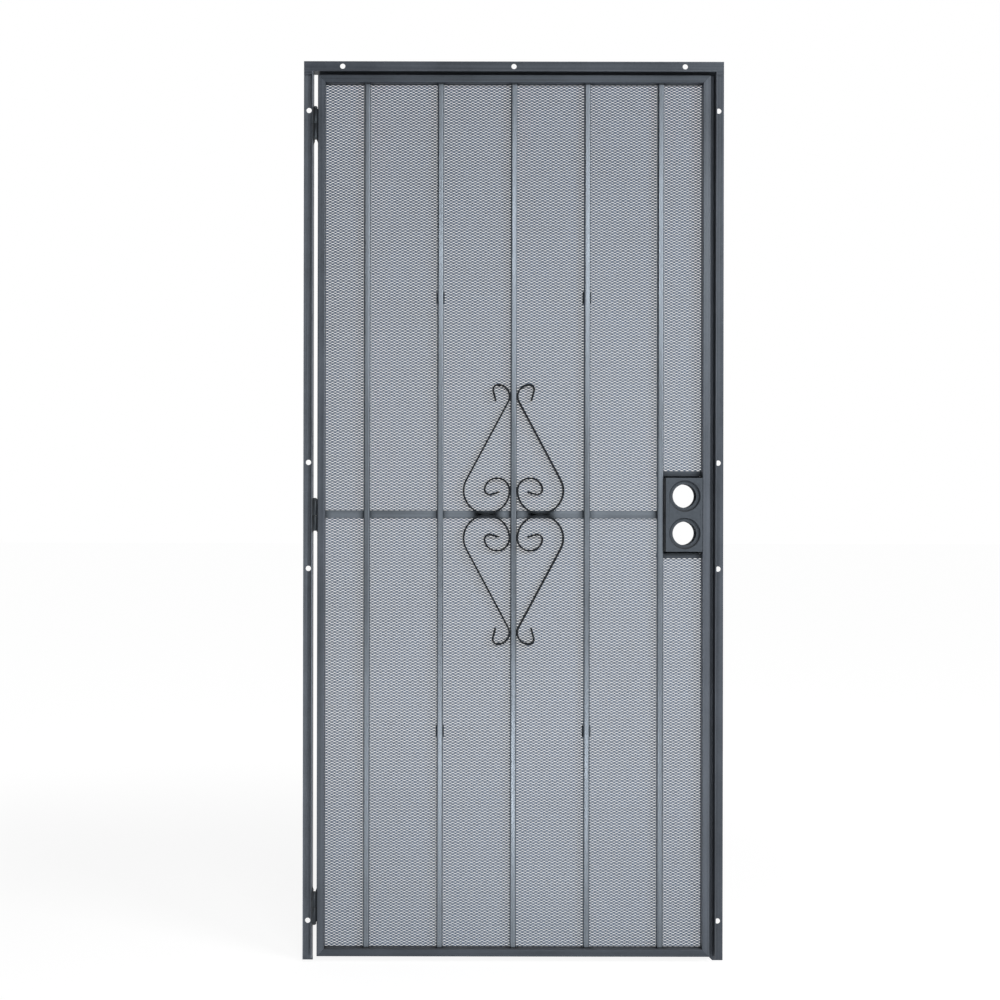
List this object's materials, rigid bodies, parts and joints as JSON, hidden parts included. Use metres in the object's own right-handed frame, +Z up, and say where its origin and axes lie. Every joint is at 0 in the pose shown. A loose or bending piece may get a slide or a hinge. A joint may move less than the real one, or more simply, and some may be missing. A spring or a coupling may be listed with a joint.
{
  "type": "steel security screen door",
  "caption": "Hinged steel security screen door in a surface-mounted frame, with upright bars, scrollwork, a double-bore lock box and an expanded metal screen.",
  "frame": {"origin": "on the back face of the hinge jamb's flange, on its centre line at the foot", "axes": "+X from the hinge side to the latch side, +Y into the wall, +Z up"},
  "size_m": [0.971, 0.0481, 2.0765],
  "materials": {
    "frame_paint": "satin powder coat",
    "leaf_paint": "satin powder coat",
    "scroll_paint": "satin powder coat",
    "lock_box_paint": "satin powder coat",
    "hinge_paint": "satin powder coat",
    "clip_paint": "satin powder coat",
    "expanded_metal": "satin powder coat"
  },
  "bodies": {
    "frame": {"header": "frame_paint", "hinge_jamb": "frame_paint", "hinge_lower_frame_half": "hinge_paint", "hinge_lower_pin": "hinge_paint", "hinge_middle_frame_half": "hinge_paint", "hinge_middle_pin": "hinge_paint", "hinge_upper_frame_half": "hinge_paint", "hinge_upper_pin": "hinge_paint", "latch_jamb": "frame_paint"},
    "leaf": {"bar_1": "leaf_paint", "bar_2": "leaf_paint", "bar_3": "leaf_paint", "bar_4": "leaf_paint", "bar_5": "leaf_paint", "bottom_rail": "leaf_paint", "clip_bar_2_lower": "clip_paint", "clip_bar_2_upper": "clip_paint", "clip_bar_4_lower": "clip_paint", "clip_bar_4_upper": "clip_paint", "crossbar": "leaf_paint", "hinge_lower_leaf_half": "hinge_paint", "hinge_middle_leaf_half": "hinge_paint", "hinge_stile": "leaf_paint", "hinge_upper_leaf_half": "hinge_paint", "latch_stile": "leaf_paint", "lock_box_back": "lock_box_paint", "lock_box_front": "lock_box_paint", "lock_flat_lower": "leaf_paint", "lock_flat_upper": "leaf_paint", "screen": "expanded_metal", "scroll_lower_left": "scroll_paint", "scroll_lower_right": "scroll_paint", "scroll_upper_left": "scroll_paint", "scroll_upper_right": "scroll_paint", "top_rail": "leaf_paint"}
  },
  "joints": [
    {"name": "leaf_hinge", "type": "hinge", "parent": "frame", "child": "leaf", "pos_m": [0.0175, -0.034, 1.0265], "axis": [0, 0, -1], "range_deg": [0, 170]}
  ]
}
